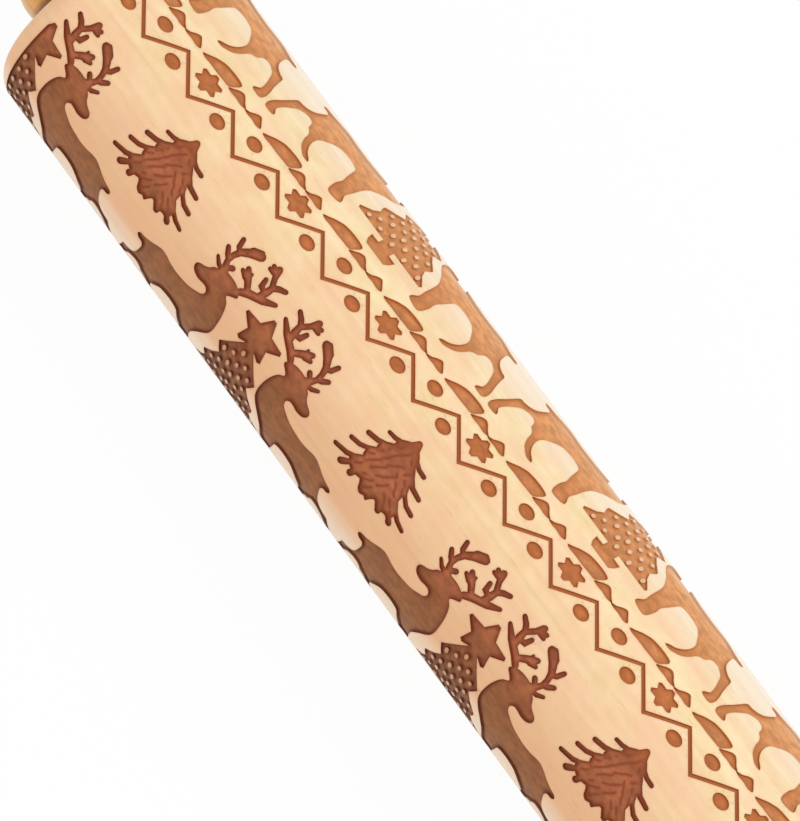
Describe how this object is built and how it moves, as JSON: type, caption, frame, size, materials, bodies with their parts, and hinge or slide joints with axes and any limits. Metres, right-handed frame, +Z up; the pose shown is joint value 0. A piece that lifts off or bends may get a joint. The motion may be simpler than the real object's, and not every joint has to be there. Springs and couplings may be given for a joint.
{
  "type": "embossed rolling pin",
  "caption": "Wooden rolling pin: a barrel engraved with a winter ornament turns freely on ball bearings between turned and varnished handles.",
  "frame": {"origin": "centre of the whole pin's box in plan, on the surface the barrel rests on", "axes": "+X along the axle towards the right handle, +Z up, +Y across the pin"},
  "size_m": [0.43, 0.05, 0.05],
  "materials": {
    "engraved_beech": "smooth sanded beech, laser engraved, with browned engraving floors and darker burnt edges",
    "varnished_beech": "turned beech under clear yellow varnish, satin",
    "axle_steel": "turned bright steel",
    "bearing_steel": "ground and polished bearing steel",
    "shield_steel": "pressed steel sheet",
    "brass": "turned brass",
    "nylon": "moulded natural nylon"
  },
  "bodies": {
    "spindle": {"axle_rod": "axle_steel", "left_inner_race": "bearing_steel", "left_spacer_washer": "nylon", "left_threaded_insert": "brass", "left_handle": "varnished_beech", "right_inner_race": "bearing_steel", "right_spacer_washer": "nylon", "right_threaded_insert": "brass", "right_handle": "varnished_beech"},
    "barrel": {"barrel": "engraved_beech", "left_outer_race": "bearing_steel", "left_bearing_shield": "shield_steel", "right_outer_race": "bearing_steel", "right_bearing_shield": "shield_steel"},
    "left_cage": {"left_ball_cage": "nylon", "left_ball_1": "bearing_steel", "left_ball_2": "bearing_steel", "left_ball_3": "bearing_steel", "left_ball_4": "bearing_steel", "left_ball_5": "bearing_steel", "left_ball_6": "bearing_steel", "left_ball_7": "bearing_steel"},
    "right_cage": {"right_ball_cage": "nylon", "right_ball_1": "bearing_steel", "right_ball_2": "bearing_steel", "right_ball_3": "bearing_steel", "right_ball_4": "bearing_steel", "right_ball_5": "bearing_steel", "right_ball_6": "bearing_steel", "right_ball_7": "bearing_steel"}
  },
  "joints": [
    {"name": "barrel_spin", "type": "hinge", "parent": "spindle", "child": "barrel", "pos_m": [0, 0, 0.025], "axis": [1, 0, 0], "continuous": true},
    {"name": "left_cage_spin", "type": "hinge", "parent": "spindle", "child": "left_cage", "pos_m": [-0.1205, 0, 0.025], "axis": [1, 0, 0], "continuous": true},
    {"name": "right_cage_spin", "type": "hinge", "parent": "spindle", "child": "right_cage", "pos_m": [0.1205, 0, 0.025], "axis": [1, 0, 0], "continuous": true}
  ],
  "couplings": [
    {"joint": "left_cage_spin", "follows": "barrel_spin", "ratio": 0.632},
    {"joint": "right_cage_spin", "follows": "barrel_spin", "ratio": 0.632}
  ]
}
